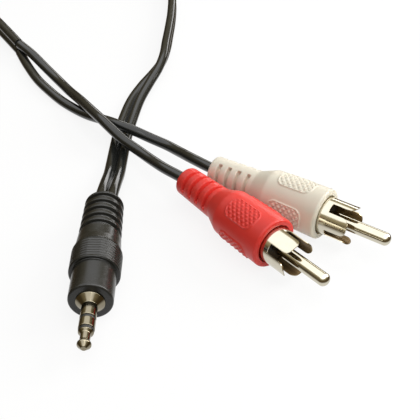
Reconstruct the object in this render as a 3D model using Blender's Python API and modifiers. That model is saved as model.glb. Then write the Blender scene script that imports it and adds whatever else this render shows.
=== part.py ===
# Audio lead: a 3.5 mm stereo jack plug on a twin cable that splits to two phono plugs.
#
# Units are metres and +Z is up. The floor is at Z = 0. The origin is under the middle of the
# three plugs, and the twin cable runs away behind them, towards +Y, to a tied coil.
# Each plug is drawn about its own axis and then placed: along that axis +Z points forward to
# the contacts, Z = 0 is the rim of the moulded grip, and +X is the top of the plug.

import math

import bpy
import bmesh
from mathutils import Matrix, Vector

MM = 0.001
NAME = "twin_phono_audio_lead"

# Fits and fineness
CLEARANCE = 0.30 * MM          # between mouldings, and round a cable in its bore
FIT = 0.05 * MM                # between the nested tubes of a contact, and metal in its mould
SEGMENTS = 24                  # sides of a turned piece
CORNER_STEPS = 3               # straight pieces in a rounded corner of a profile
MERGE = 0.01 * MM

# Where the plugs lie: the rim's centre on the floor, and the heading, clockwise seen from above
# and counted from -Y towards +X
JACK_PLACE = (-30.1 * MM, -17.8 * MM)
JACK_HEADING = math.radians(-0.35)
RED_PLACE = (9.3 * MM, 0.1 * MM)
RED_HEADING = math.radians(40.0)
RED_ROLL = math.radians(-63.5)
RED_SHELL_TURN = math.radians(-11.0)
WHITE_PLACE = (21.65 * MM, 10.6 * MM)
WHITE_HEADING = math.radians(55.1)
WHITE_ROLL = math.radians(-2.0)
WHITE_SHELL_TURN = math.radians(-19.8)

# Cable
LEAD_DIAMETER = 2.7 * MM       # one jacketed core; the twin is two of them side by side
WIRE_RADIUS = 0.45 * MM        # insulated wire inside a core
SCREEN_RADIUS = 0.35 * MM      # the screen's strands, twisted together
LEAD_STEP = 2.4                # distance between points of a tube, in lead diameters
TWIN_STEP = 4.6

# Coil of twin cable, lying flat, with the cable on edge
COIL_CENTRE = (-62.0 * MM, 190.7 * MM)
COIL_MIDDLE_RADIUS = 29.0 * MM
COIL_TURNS_ACROSS = 4
COIL_LAYERS = 2
TURN_GAP = 0.05 * MM
TIE_WIDTH = 5.0 * MM
TIE_THICKNESS = 0.5 * MM

# Jack plug: contacts, measured back from the nose
JACK_REACH = 13.4 * MM         # nose to rim
CONTACT_RADIUS = 1.75 * MM     # a 3.5 mm plug
TIP_LENGTH = 4.6 * MM
TIP_NOSE_RADIUS = 0.6 * MM
TIP_BULGE_RADIUS = 1.5 * MM
TIP_BULGE_START = 0.95 * MM
TIP_BULGE_END = 1.3 * MM
TIP_WAIST_RADIUS = 1.1 * MM
TIP_WAIST_START = 2.0 * MM
TIP_WAIST_END = 3.95 * MM
TIP_EDGE = 0.15 * MM           # rounding of the nose
TIP_FILLET = 0.3 * MM          # and of the bulge and waist behind it
BAND_WIDTH = 0.7 * MM          # insulating band between two contacts
BAND_INSET = 0.1 * MM
RING_LENGTH = 2.4 * MM
SHOULDER_RADIUS = 3.15 * MM    # foot of the cone behind the sleeve
SHOULDER_LENGTH = 1.3 * MM
SHOULDER_STAND = 0.25 * MM     # the foot stands this far out of the rim
SHOULDER_DEPTH = 1.0 * MM      # and reaches this far into the grip

# Jack plug: the nested rod and tubes inside
ROD_RADIUS = 0.45 * MM
TUBE_WALL = 0.2 * MM
SLEEVE_TAIL_RADIUS = 2.2 * MM
SLEEVE_TAIL = 5.5 * MM         # behind the rim
BAND_TAIL_STEP = 0.9 * MM      # each inner tube ends this much further back

# Jack plug: moulded grip and strain relief
JACK_RIM_RADIUS = 4.88 * MM
JACK_RIM_EDGE = 0.5 * MM
JACK_COLLAR_START = 8.4 * MM
JACK_COLLAR_END = 14.8 * MM
JACK_COLLAR_RADIUS = 5.7 * MM
JACK_COLLAR_RINGS = 8
JACK_COLLAR_RING_DEPTH = 0.16 * MM
JACK_NECK_RADIUS = 5.45 * MM
JACK_RELIEF_START = 19.8 * MM
JACK_RELIEF_RADIUS = 4.92 * MM
JACK_RELIEF_END_RADIUS = 4.55 * MM
JACK_LENGTH = 33.0 * MM        # rim to rear end
JACK_END_EDGE = 1.2 * MM
JACK_GROOVES = 5
JACK_GROOVE_FIRST = 21.2 * MM
JACK_GROOVE_PITCH = 2.53 * MM
JACK_GROOVE_WIDTH = 1.1 * MM
JACK_GROOVE_DEPTH = 0.85 * MM
JACK_WALL = 1.15 * MM
JACK_CABLE_END = 19.5 * MM     # where the twin cable ends inside
SOLDER_ROOM_END = 10.8 * MM    # rear of the hollow round the soldered tails
SOLDER_ROOM_RADIUS = 2.7 * MM
TAB_THICKNESS = 0.3 * MM
TAB_WIDTH = 1.0 * MM
TAB_LENGTH = 4.0 * MM

# Phono plug: contacts, measured forward and back from the rim
PIN_RADIUS = 1.55 * MM
PIN_REACH = 16.6 * MM
PIN_TAIL_RADIUS = 0.9 * MM
PIN_TAIL = 5.0 * MM
SHELL_RADIUS = 4.46 * MM
SHELL_WALL = 0.4 * MM
SHELL_REACH = 7.4 * MM
SHELL_FLARE = 0.08 * MM
SHELL_TAIL = 3.0 * MM
SHELL_BASE = 0.45 * MM         # thickness of the shell's inturned floor
SHELL_BASE_HOLE = 2.4 * MM
SLOT_WIDTH = 2.4 * MM
SLOT_START = 2.0 * MM          # in front of the rim
PETAL_CORNER = 1.6 * MM
DISC_FRONT = 0.8 * MM          # face of the insulating disc

# Phono plug: moulded grip and strain relief
PHONO_RIM_RADIUS = 6.15 * MM
PHONO_RIM_EDGE = 0.9 * MM
PHONO_WAIST_RADIUS = 5.75 * MM
PHONO_SHOULDER_START = 14.7 * MM
PHONO_SHOULDER_END = 18.7 * MM
PHONO_SHOULDER_FILLET = 2.0 * MM
PHONO_RELIEF_FILLET = 1.0 * MM
PHONO_RELIEF_RADIUS = 4.05 * MM
PHONO_RELIEF_END_RADIUS = 3.5 * MM
PHONO_LENGTH = 31.3 * MM
PHONO_END_EDGE = 0.7 * MM
PHONO_GROOVES = 4
PHONO_GROOVE_FIRST = 20.4 * MM
PHONO_GROOVE_PITCH = 2.7 * MM
PHONO_GROOVE_WIDTH = 0.95 * MM
PHONO_GROOVE_DEPTH = 1.1 * MM
SPINE_WIDTH = 3.0 * MM
PHONO_SHOULDER_WALL = 1.3 * MM
LEAD_END = 14.5 * MM           # where the lead ends inside
MOULD_TAIL = 3.7 * MM          # how far the inner mould grips the lead
PAD_START = 3.45 * MM
PAD_LENGTH = 9.2 * MM
PAD_WIDTH = 5.6 * MM
PAD_HEIGHT = 0.3 * MM
PAD_CORNER = 2.0 * MM
PADS = 4

# Values that follow from the ones above
LEAD_RADIUS = LEAD_DIAMETER / 2
TWIN_WIDTH = 2 * LEAD_DIAMETER
JACK_HEIGHT = JACK_COLLAR_RADIUS
PHONO_HEIGHT = PHONO_RIM_RADIUS + PAD_HEIGHT
SHELL_INNER = SHELL_RADIUS - SHELL_WALL
COIL_LIFT = TIE_THICKNESS + FIT
COIL_HALF_ACROSS = COIL_TURNS_ACROSS * (LEAD_DIAMETER + TURN_GAP) / 2
COIL_TALL = COIL_LAYERS * (TWIN_WIDTH + TURN_GAP)

# Routes of the cable's middle, in millimetres, from one end to the other. The last value of a
# twin point is its turn in degrees: 0 lies flat, 90 stands on edge.
JACK_SIDE_ROUTE = [
    (-29.9, 15.2, 5.7, 0), (-29.7, 19.7, 5.5, 0), (-29.4, 25.3, 4.4, 0), (-29.1, 31.7, 2.8, 0),
    (-29.0, 38.2, 1.8, 0), (-28.8, 44.7, 1.4, 0), (-28.4, 51.7, 1.4, 0), (-27.4, 59.7, 1.55, 5),
    (-25.9, 68.2, 1.85, 15), (-23.45, 76.2, 2.2, 30), (-20.9, 83.2, 2.55, 50),
    (-19.15, 90.2, 2.75, 75), (-18.4, 97.7, 2.75, 90), (-17.9, 105.7, 2.75, 90),
    (-17.4, 116.7, 2.75, 90), (-17.5, 128.7, 2.75, 90), (-18.6, 140.7, 2.75, 90),
    (-21.2, 152.7, 2.85, 90), (-25.2, 163.7, 3.1, 90), (-28.0, 171.2, 3.25, 90),
    (-28.9, 176.6, 3.25, 90),
]
PHONO_SIDE_ROUTE = [
    (-95.1, 176.6, 8.4, 90), (-95.2, 171.2, 7.4, 90), (-94.9, 162.7, 5.2, 90),
    (-93.4, 152.2, 3.3, 90),
    (-90.0, 141.7, 2.75, 90), (-85.0, 131.7, 2.75, 90), (-79.0, 122.3, 2.75, 90),
    (-73.5, 114.1, 2.75, 90), (-70.9, 110.1, 2.75, 90), (-66.8, 103.5, 2.75, 90),
    (-62.8, 96.9, 2.75, 90),
]
RED_ROUTE = [
    (-62.4, 96.2, 4.15), (-58.1, 91.1, 3.7), (-53.2, 84.7, 2.6), (-48.2, 77.4, 2.2),
    (-44.6, 70.9, 3.0), (-41.0, 64.4, 4.3), (-36.9, 56.9, 5.5), (-33.7, 51.6, 6.0),
    (-30.7, 47.5, 5.6), (-27.4, 43.7, 4.8), (-24.0, 40.0, 4.6), (-20.2, 35.2, 4.9),
    (-16.5, 30.2, 5.7),
]
WHITE_ROUTE = [
    (-62.6, 96.0, 1.4), (-59.4, 88.6, 1.4), (-55.0, 79.9, 1.4), (-51.1, 74.1, 1.4),
    (-46.7, 68.4, 1.4), (-42.3, 64.0, 1.4), (-38.6, 60.5, 1.8), (-34.9, 56.9, 2.9),
    (-31.9, 53.8, 4.0), (-28.4, 50.7, 4.6), (-25.1, 48.8, 4.4), (-20.8, 46.6, 3.6),
    (-16.5, 43.8, 3.3), (-13.0, 39.7, 4.0), (-9.4, 34.5, 5.4),
]


def clear_scene():
    for thing in list(bpy.data.objects):
        bpy.data.objects.remove(thing, do_unlink=True)


def add_collection(name):
    collection = bpy.data.collections.new(name)
    bpy.context.scene.collection.children.link(collection)
    return collection


clear_scene()
PARTS = add_collection(NAME)
CUTTERS = add_collection("cutters")


def make_material(name, colour, roughness, metallic=0.0):
    material = bpy.data.materials.new(name)
    material.use_nodes = True
    shader = material.node_tree.nodes["Principled BSDF"]
    shader.inputs["Base Color"].default_value = (*colour, 1.0)
    shader.inputs["Roughness"].default_value = roughness
    shader.inputs["Metallic"].default_value = metallic
    return material


BLACK_PVC = make_material("black_pvc", (0.028, 0.028, 0.026), 0.45)
RED_PVC = make_material("red_pvc", (0.60, 0.045, 0.04), 0.40)
WHITE_PVC = make_material("white_pvc", (0.78, 0.74, 0.66), 0.40)
CREAM_PLASTIC = make_material("cream_plastic", (0.70, 0.66, 0.55), 0.50)
DARK_PLASTIC = make_material("dark_plastic", (0.03, 0.03, 0.03), 0.50)
NICKEL = make_material("nickel_plate", (0.76, 0.74, 0.66), 0.15, 1.0)
COPPER = make_material("tinned_copper", (0.70, 0.50, 0.36), 0.30, 1.0)


def place(thing, parent, material, collection=None):
    (collection or PARTS).objects.link(thing)
    thing.parent = parent
    if material:
        thing.data.materials.append(material)
    return thing


def as_cutter(thing):
    """Keep a guide out of the model: it only cuts or trims its neighbours."""
    thing.hide_render = True
    thing.display_type = "WIRE"
    return thing


def rounded_outline(corners):
    """Points of an outline, its (x, y, radius) corners drawn as arcs; radius 0 is sharp."""
    points = []
    for index, (x, y, radius) in enumerate(corners):
        here = Vector((x, y))
        if radius == 0:
            points.append(here)
            continue
        back = Vector(corners[index - 1][:2]) - here
        ahead = Vector(corners[(index + 1) % len(corners)][:2]) - here
        half = back.angle(ahead) / 2
        reach = min(radius / math.tan(half), 0.48 * back.length, 0.48 * ahead.length)
        start = here + back.normalized() * reach
        end = here + ahead.normalized() * reach
        centre = here + (back.normalized() + ahead.normalized()).normalized() * (
            reach / math.cos(half))
        for step in range(CORNER_STEPS + 1):
            along = start.lerp(end, step / CORNER_STEPS) - centre
            points.append(centre + along.normalized() * (start - centre).length)
    return points


def turned(name, corners, parent, material, loop=False, sides=SEGMENTS, cutter=False):
    """Turn an (r, z, corner radius) profile about Z; it runs down its outer side."""
    mesh = bpy.data.meshes.new(name)
    points = rounded_outline(corners)
    edges = [(index, index + 1) for index in range(len(points) - 1)]
    if loop:
        edges.append((len(points) - 1, 0))
    mesh.from_pydata([(r, 0.0, z) for r, z in points], edges, [])
    thing = place(bpy.data.objects.new(name, mesh), parent, material,
                  CUTTERS if cutter else PARTS)
    screw = thing.modifiers.new("turn", "SCREW")
    screw.axis = "Z"
    screw.steps = sides
    screw.render_steps = sides
    screw.use_merge_vertices = True
    screw.merge_threshold = MERGE
    screw.use_smooth_shade = True
    return as_cutter(thing) if cutter else thing


def rounded_box(name, size, parent, material, corner=0.0, centre=(0, 0, 0), cutter=False):
    """A box whose four edges along Z are rounded; corner = half the thickness gives a stadium."""
    mesh = bpy.data.meshes.new(name)
    shape = bmesh.new()
    bmesh.ops.create_cube(shape, size=1.0)
    bmesh.ops.scale(shape, vec=size, verts=shape.verts)
    if corner:
        upright = [edge for edge in shape.edges
                   if abs(edge.verts[0].co.z - edge.verts[1].co.z) > size[2] / 2]
        bmesh.ops.bevel(shape, geom=upright, offset=corner, offset_type="OFFSET", segments=4,
                        profile=0.5, affect="EDGES")
        bmesh.ops.remove_doubles(shape, verts=shape.verts, dist=MERGE)
    bmesh.ops.translate(shape, vec=centre, verts=shape.verts)
    shape.to_mesh(mesh)
    shape.free()
    thing = place(bpy.data.objects.new(name, mesh), parent, material,
                  CUTTERS if cutter else PARTS)
    return as_cutter(thing) if cutter else thing


def mesh_from(curve_object):
    """Swap a curve for its mesh, caps welded, so that it can cut or be cut."""
    bpy.context.view_layer.update()
    graph = bpy.context.evaluated_depsgraph_get()
    mesh = bpy.data.meshes.new_from_object(curve_object.evaluated_get(graph))
    shape = bmesh.new()
    shape.from_mesh(mesh)
    bmesh.ops.remove_doubles(shape, verts=shape.verts, dist=MERGE)
    bmesh.ops.recalc_face_normals(shape, faces=shape.faces)
    shape.to_mesh(mesh)
    shape.free()
    name = curve_object.name
    curve_object.name = name + "_curve"
    thing = bpy.data.objects.new(name, mesh)
    curve_object.users_collection[0].objects.link(thing)
    thing.parent = curve_object.parent
    thing.matrix_basis = curve_object.matrix_basis.copy()
    thing.hide_render = curve_object.hide_render
    thing.display_type = curve_object.display_type
    bpy.data.objects.remove(curve_object, do_unlink=True)
    return thing


def tube(name, points, radius, parent, material, half_flat=0.0, turns=None, cutter=False):
    """A round tube along points, or a flat one whose width grows by twice half_flat."""
    curve = bpy.data.curves.new(name, "CURVE")
    curve.dimensions = "3D"
    curve.twist_mode = "Z_UP" if half_flat else "MINIMUM"
    curve.bevel_depth = radius
    curve.bevel_resolution = 2
    curve.extrude = half_flat
    curve.use_fill_caps = True
    spline = curve.splines.new("POLY")
    spline.points.add(len(points) - 1)
    for index, point in enumerate(points):
        spline.points[index].co = (*point, 1.0)
        if turns:
            spline.points[index].tilt = turns[index]
    thing = place(bpy.data.objects.new(name, curve), parent, material,
                  CUTTERS if cutter else PARTS)
    return as_cutter(thing) if cutter else thing


def prism(name, loops, thickness, parent, material, cutter=False):
    """A flat outline, with any holes, filled and given its thickness along Z."""
    curve = bpy.data.curves.new(name, "CURVE")
    curve.dimensions = "2D"
    curve.fill_mode = "BOTH"
    curve.extrude = thickness / 2
    for loop in loops:
        spline = curve.splines.new("POLY")
        spline.points.add(len(loop) - 1)
        for point, (x, y) in zip(spline.points, loop):
            point.co = (x, y, 0.0, 1.0)
        spline.use_cyclic_u = True
    thing = place(bpy.data.objects.new(name, curve), parent, material,
                  CUTTERS if cutter else PARTS)
    return as_cutter(thing) if cutter else thing


def combine(target, other, operation):
    modifier = target.modifiers.new(other.name, "BOOLEAN")
    modifier.operation = operation
    modifier.solver = "EXACT"
    modifier.object = other


def smooth_route(points, step):
    """Evenly spaced points on the smooth curve through a list of points of any dimension."""
    knots = [Vector(point) for point in points]
    ends = [2 * knots[0] - knots[1], *knots, 2 * knots[-1] - knots[-2]]
    fine = []
    for before, start, end, after in zip(ends, ends[1:], ends[2:], ends[3:]):
        spans = [math.sqrt((b - a).length) for a, b in
                 ((before, start), (start, end), (end, after))]
        leave = spans[1] * ((start - before) / spans[0] - (end - before) / (spans[0] + spans[1])
                            + (end - start) / spans[1])
        arrive = spans[1] * ((end - start) / spans[1] - (after - start) / (spans[1] + spans[2])
                             + (after - end) / spans[2])
        for part in range(16):
            t = part / 16
            fine.append(start * (2 * t**3 - 3 * t**2 + 1) + leave * (t**3 - 2 * t**2 + t)
                        + end * (3 * t**2 - 2 * t**3) + arrive * (t**3 - t**2))
    fine.append(knots[-1])
    travelled = [0.0]
    for here, there in zip(fine, fine[1:]):
        travelled.append(travelled[-1] + (there.xyz - here.xyz).length)
    count = max(2, round(travelled[-1] / step))
    even = []
    place_on = 0
    for index in range(count + 1):
        wanted = travelled[-1] * index / count
        while place_on < len(fine) - 2 and travelled[place_on + 1] < wanted:
            place_on += 1
        span = travelled[place_on + 1] - travelled[place_on]
        even.append(fine[place_on].lerp(fine[place_on + 1], (wanted - travelled[place_on]) / span))
    return even


def plug_frame(name, spot, height, heading, roll=0.0):
    """An empty at the rim's centre, its Z forward along the plug and its X at the plug's top."""
    frame = bpy.data.objects.new(name, None)
    PARTS.objects.link(frame)
    forward = Vector((math.sin(heading), -math.cos(heading), 0.0))
    turn = forward.to_track_quat("Z", "X").to_matrix() @ Matrix.Rotation(roll, 3, "Z")
    frame.location = (*spot, height)
    frame.rotation_euler = turn.to_euler()
    bpy.context.view_layer.update()
    return frame


def groove_corners(middles, width, depth, radius_at):
    """Corners of a row of grooves with sloping sides, from the first one backwards."""
    corners = []
    for middle in middles:
        for at, sunk in ((-0.5, 0), (-0.3, 1), (0.3, 1), (0.5, 0)):
            z = middle + at * width
            corners.append((radius_at(z) - sunk * depth, -z, 0))
    return corners


def jack_relief_radius(z):
    """Radius of the jack's tapering strain relief at z behind the rim."""
    share = (z - JACK_RELIEF_START) / (JACK_LENGTH - JACK_RELIEF_START)
    return JACK_RELIEF_RADIUS + share * (JACK_RELIEF_END_RADIUS - JACK_RELIEF_RADIUS)


def phono_relief_radius(z):
    """Radius of a phono plug's tapering strain relief at z behind the rim."""
    share = (z - PHONO_SHOULDER_END) / (PHONO_LENGTH - PHONO_SHOULDER_END)
    return PHONO_RELIEF_RADIUS + share * (PHONO_RELIEF_END_RADIUS - PHONO_RELIEF_RADIUS)


# Jack plug

def jack_overmould(frame):
    hole = SHOULDER_RADIUS + FIT
    room = JACK_RIM_RADIUS - JACK_WALL
    ring = (JACK_COLLAR_END - JACK_COLLAR_START) / JACK_COLLAR_RINGS
    corners = [(hole, 0, 0), (JACK_RIM_RADIUS, 0, JACK_RIM_EDGE),
               (JACK_RIM_RADIUS, -JACK_COLLAR_START, 0)]
    for index in range(JACK_COLLAR_RINGS):
        start = -JACK_COLLAR_START - index * ring
        corners.append((JACK_COLLAR_RADIUS - JACK_COLLAR_RING_DEPTH, start, 0))
        corners.append((JACK_COLLAR_RADIUS, start - ring / 2, 0))
    neck_middle = (JACK_COLLAR_END + JACK_RELIEF_START) / 2
    corners += [(JACK_COLLAR_RADIUS - JACK_COLLAR_RING_DEPTH, -JACK_COLLAR_END, 0),
                (JACK_NECK_RADIUS, -JACK_COLLAR_END - JACK_COLLAR_RING_DEPTH, 0),
                ((JACK_NECK_RADIUS + 2 * JACK_RELIEF_RADIUS) / 3, -neck_middle, 0)]
    grooves = [JACK_GROOVE_FIRST + index * JACK_GROOVE_PITCH for index in range(JACK_GROOVES)]
    corners += groove_corners(grooves, JACK_GROOVE_WIDTH, JACK_GROOVE_DEPTH, jack_relief_radius)
    mouth = LEAD_DIAMETER + CLEARANCE + FIT
    corners += [(JACK_RELIEF_END_RADIUS, -JACK_LENGTH, JACK_END_EDGE),
                (mouth, -JACK_LENGTH, 0),
                (mouth, -JACK_CABLE_END - SHOULDER_DEPTH, 0),
                (room, -JACK_CABLE_END, 0),
                (room, -SHOULDER_DEPTH - CLEARANCE, 0),
                (hole, -SHOULDER_DEPTH - CLEARANCE, 0)]
    return turned("jack_overmould", corners, frame, BLACK_PVC, loop=True)


def jack_inner_mould(frame, channels):
    outer = JACK_RIM_RADIUS - JACK_WALL - CLEARANCE
    front = -SHOULDER_DEPTH - CLEARANCE
    mould = turned("jack_inner_mould", [
        (0, -SOLDER_ROOM_END, 0), (SOLDER_ROOM_RADIUS, -SOLDER_ROOM_END, 0),
        (SOLDER_ROOM_RADIUS, front, 0), (outer, front, 0),
        (outer, CLEARANCE - JACK_CABLE_END, 0), (0, CLEARANCE - JACK_CABLE_END, 0),
    ], frame, CREAM_PLASTIC)
    for channel in channels:
        combine(mould, channel, "DIFFERENCE")
    return mould


def jack_contacts(frame):
    """Tip on its rod, ring and sleeve, one inside the other, with insulating tubes between."""
    nose = JACK_REACH
    tip_foot = nose - TIP_LENGTH
    ring_front = tip_foot - BAND_WIDTH
    ring_foot = ring_front - RING_LENGTH
    sleeve_front = ring_foot - BAND_WIDTH
    cone_foot = SHOULDER_STAND
    band_radius = CONTACT_RADIUS - BAND_INSET
    bores = []
    inner = ROD_RADIUS + FIT
    for layer in range(3):
        bores.append((inner, inner + TUBE_WALL))
        inner += TUBE_WALL + FIT
    (tip_band_in, tip_band_out), (ring_in, ring_out), (ring_band_in, ring_band_out) = bores
    sleeve_in = inner
    tails = [-SLEEVE_TAIL - BAND_TAIL_STEP * index for index in range(5)]

    turned("jack_tip", [
        (0, nose, 0), (TIP_NOSE_RADIUS, nose, TIP_EDGE),
        (TIP_BULGE_RADIUS, nose - TIP_BULGE_START, TIP_FILLET),
        (TIP_BULGE_RADIUS, nose - TIP_BULGE_END, TIP_FILLET),
        (TIP_WAIST_RADIUS, nose - TIP_WAIST_START, TIP_FILLET),
        (TIP_WAIST_RADIUS, nose - TIP_WAIST_END, TIP_FILLET),
        (CONTACT_RADIUS, tip_foot + FIT, 0), (ROD_RADIUS, tip_foot + FIT, 0),
        (ROD_RADIUS, tails[4], 0), (0, tails[4], 0),
    ], frame, NICKEL)
    turned("jack_tip_insulator", [
        (tip_band_in, tip_foot, 0), (band_radius, tip_foot, 0),
        (band_radius, ring_front + FIT, 0), (tip_band_out, ring_front + FIT, 0),
        (tip_band_out, tails[3], 0), (tip_band_in, tails[3], 0),
    ], frame, DARK_PLASTIC, loop=True)
    turned("jack_ring", [
        (ring_in, ring_front, 0), (CONTACT_RADIUS, ring_front, 0),
        (CONTACT_RADIUS, ring_foot + FIT, 0), (ring_out, ring_foot + FIT, 0),
        (ring_out, tails[2], 0), (ring_in, tails[2], 0),
    ], frame, NICKEL, loop=True)
    turned("jack_ring_insulator", [
        (ring_band_in, ring_foot, 0), (band_radius, ring_foot, 0),
        (band_radius, sleeve_front + FIT, 0), (ring_band_out, sleeve_front + FIT, 0),
        (ring_band_out, tails[1], 0), (ring_band_in, tails[1], 0),
    ], frame, DARK_PLASTIC, loop=True)
    turned("jack_sleeve", [
        (sleeve_in, sleeve_front, 0), (CONTACT_RADIUS, sleeve_front, 0),
        (CONTACT_RADIUS, cone_foot + SHOULDER_LENGTH, 0),
        (SHOULDER_RADIUS, cone_foot, 0), (SHOULDER_RADIUS, -SHOULDER_DEPTH, 0),
        (SLEEVE_TAIL_RADIUS, -SHOULDER_DEPTH, 0), (SLEEVE_TAIL_RADIUS, tails[0], 0),
        (sleeve_in, tails[0], 0),
    ], frame, NICKEL, loop=True)
    return ring_out, tails


def jack_wiring(frame, ring_out, tails):
    """Solder tabs on the sleeve and the ring, and the wires from them to the twin cable."""
    cable_face = CLEARANCE - JACK_CABLE_END
    ground_x = SLEEVE_TAIL_RADIUS + FIT + TAB_THICKNESS / 2
    ground_rear = tails[0] + TAB_LENGTH / 4 - TAB_LENGTH
    rounded_box("jack_ground_tab", (TAB_THICKNESS, TAB_WIDTH, TAB_LENGTH), frame, COPPER,
                centre=(ground_x, 0, ground_rear + TAB_LENGTH / 2))
    ring_y = -(ring_out + FIT + TAB_THICKNESS / 2)
    ring_front = tails[1] - CLEARANCE
    ring_rear = ring_front - TAB_LENGTH * 0.9
    rounded_box("jack_ring_tab", (TAB_WIDTH / 2, TAB_THICKNESS, ring_front - ring_rear), frame,
                COPPER, centre=(0, ring_y, (ring_front + ring_rear) / 2))
    side = LEAD_RADIUS
    runs = {
        "jack_left_wire": ((0, 0, tails[4] - CLEARANCE), (0, side, cable_face), WIRE_RADIUS),
        "jack_right_wire": ((0, ring_y, ring_rear - CLEARANCE), (0, -side, cable_face),
                            WIRE_RADIUS),
        "jack_screen": ((ground_x - SCREEN_RADIUS / 2, 0, ground_rear - CLEARANCE),
                        (LEAD_RADIUS - SCREEN_RADIUS - FIT, 0, cable_face), SCREEN_RADIUS),
    }
    channels = []
    for name, (start, end, radius) in runs.items():
        start, end = Vector(start), Vector(end)
        middle = (start + end) / 2
        start_run = Vector((start.x, start.y, middle.z - (middle.z - start.z) * 0.4))
        end_run = Vector((end.x, end.y, middle.z + (end.z - middle.z) * 0.4))
        points = [start, start_run, middle, end_run, end]
        tube(name, points, radius, frame, COPPER if name == "jack_screen" else CREAM_PLASTIC)
        over = Vector((0, 0, 3 * CLEARANCE))
        wide = [start + over] + points[1:-1] + [end - over]
        channels.append(mesh_from(tube(name + "_channel", wide, radius + CLEARANCE / 2, frame,
                                       None, cutter=True)))
    return channels


def build_jack():
    frame = plug_frame("jack_frame", JACK_PLACE, JACK_HEIGHT, JACK_HEADING)
    jack_overmould(frame)
    ring_out, tails = jack_contacts(frame)
    jack_inner_mould(frame, jack_wiring(frame, ring_out, tails))
    return frame


# Phono plug

def phono_pads(name, frame):
    """Four raised grip pads, trimmed to a surface one pad height proud of the body."""
    middle = -(PAD_START + PAD_LENGTH / 2)
    base = SHELL_RADIUS + (PHONO_WAIST_RADIUS - SHELL_RADIUS) / 2
    top = PHONO_RIM_RADIUS + 2 * PAD_HEIGHT
    envelope = turned(name + "_pad_surface", [
        (0, 0, 0), (PHONO_RIM_RADIUS + PAD_HEIGHT, 0, 0),
        (PHONO_WAIST_RADIUS + PAD_HEIGHT, -PHONO_SHOULDER_START, 0),
        (0, -PHONO_SHOULDER_START, 0),
    ], frame, None, cutter=True)
    pads = []
    for index in range(PADS):
        turn = Matrix.Rotation(2 * math.pi * index / PADS, 3, "Z")
        pad = rounded_box(f"{name}_pad_{index}", (PAD_WIDTH, PAD_LENGTH, top - base), frame, None,
                          corner=PAD_CORNER, cutter=True)
        pad.location = turn @ Vector(((base + top) / 2, 0, middle))
        stand = Matrix(((0, 0, 1), (1, 0, 0), (0, 1, 0)))
        pad.rotation_euler = (turn @ stand).to_euler()
        combine(pad, envelope, "INTERSECT")
        pads.append(pad)
    return pads


def phono_groove_cutter(name, frame):
    """Partial grooves round the strain relief, broken by a smooth spine above and below."""
    cutters = []
    for index in range(PHONO_GROOVES):
        middle = PHONO_GROOVE_FIRST + index * PHONO_GROOVE_PITCH
        floor = phono_relief_radius(middle) - PHONO_GROOVE_DEPTH
        outside = PHONO_RELIEF_RADIUS + PHONO_GROOVE_DEPTH
        half = PHONO_GROOVE_WIDTH / 2
        rings = turned(f"{name}_groove_{index}", [
            (floor, half - middle, 0), (outside, half - middle, 0),
            (outside, -half - middle, 0), (floor, -half - middle, 0),
        ], frame, None, loop=True, cutter=True)
        rings.rotation_euler.z = math.pi / SEGMENTS    # half a facet, so no edges coincide
        cutters.append(rings)
    spine = rounded_box(name + "_spine", (4 * PHONO_RELIEF_RADIUS, SPINE_WIDTH, PHONO_LENGTH),
                        frame, None, centre=(0, 0, -PHONO_LENGTH), cutter=True)
    for rings in cutters:
        combine(rings, spine, "DIFFERENCE")
    return cutters


def phono_overmould(name, frame, material):
    hole = SHELL_RADIUS + FIT
    bore = LEAD_RADIUS + CLEARANCE
    room_end = LEAD_END + MOULD_TAIL + CLEARANCE
    neck = PHONO_RELIEF_RADIUS - PHONO_SHOULDER_WALL
    body = turned(f"phono_{name}_overmould", [
        (hole, 0, 0), (PHONO_RIM_RADIUS, 0, PHONO_RIM_EDGE),
        (PHONO_WAIST_RADIUS, -PHONO_SHOULDER_START, PHONO_SHOULDER_FILLET),
        (PHONO_RELIEF_RADIUS, -PHONO_SHOULDER_END, PHONO_RELIEF_FILLET),
        (PHONO_RELIEF_END_RADIUS, -PHONO_LENGTH, PHONO_END_EDGE),
        (bore, -PHONO_LENGTH, 0), (bore, -room_end, 0), (neck, -room_end, 0),
        (hole, -PHONO_SHOULDER_START + PHONO_SHOULDER_WALL / 2, 0),
    ], frame, material, loop=True)
    for pad in phono_pads(f"phono_{name}", frame):
        combine(body, pad, "UNION")
    for cutter in phono_groove_cutter(f"phono_{name}", frame):
        combine(body, cutter, "DIFFERENCE")
    return body


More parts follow.
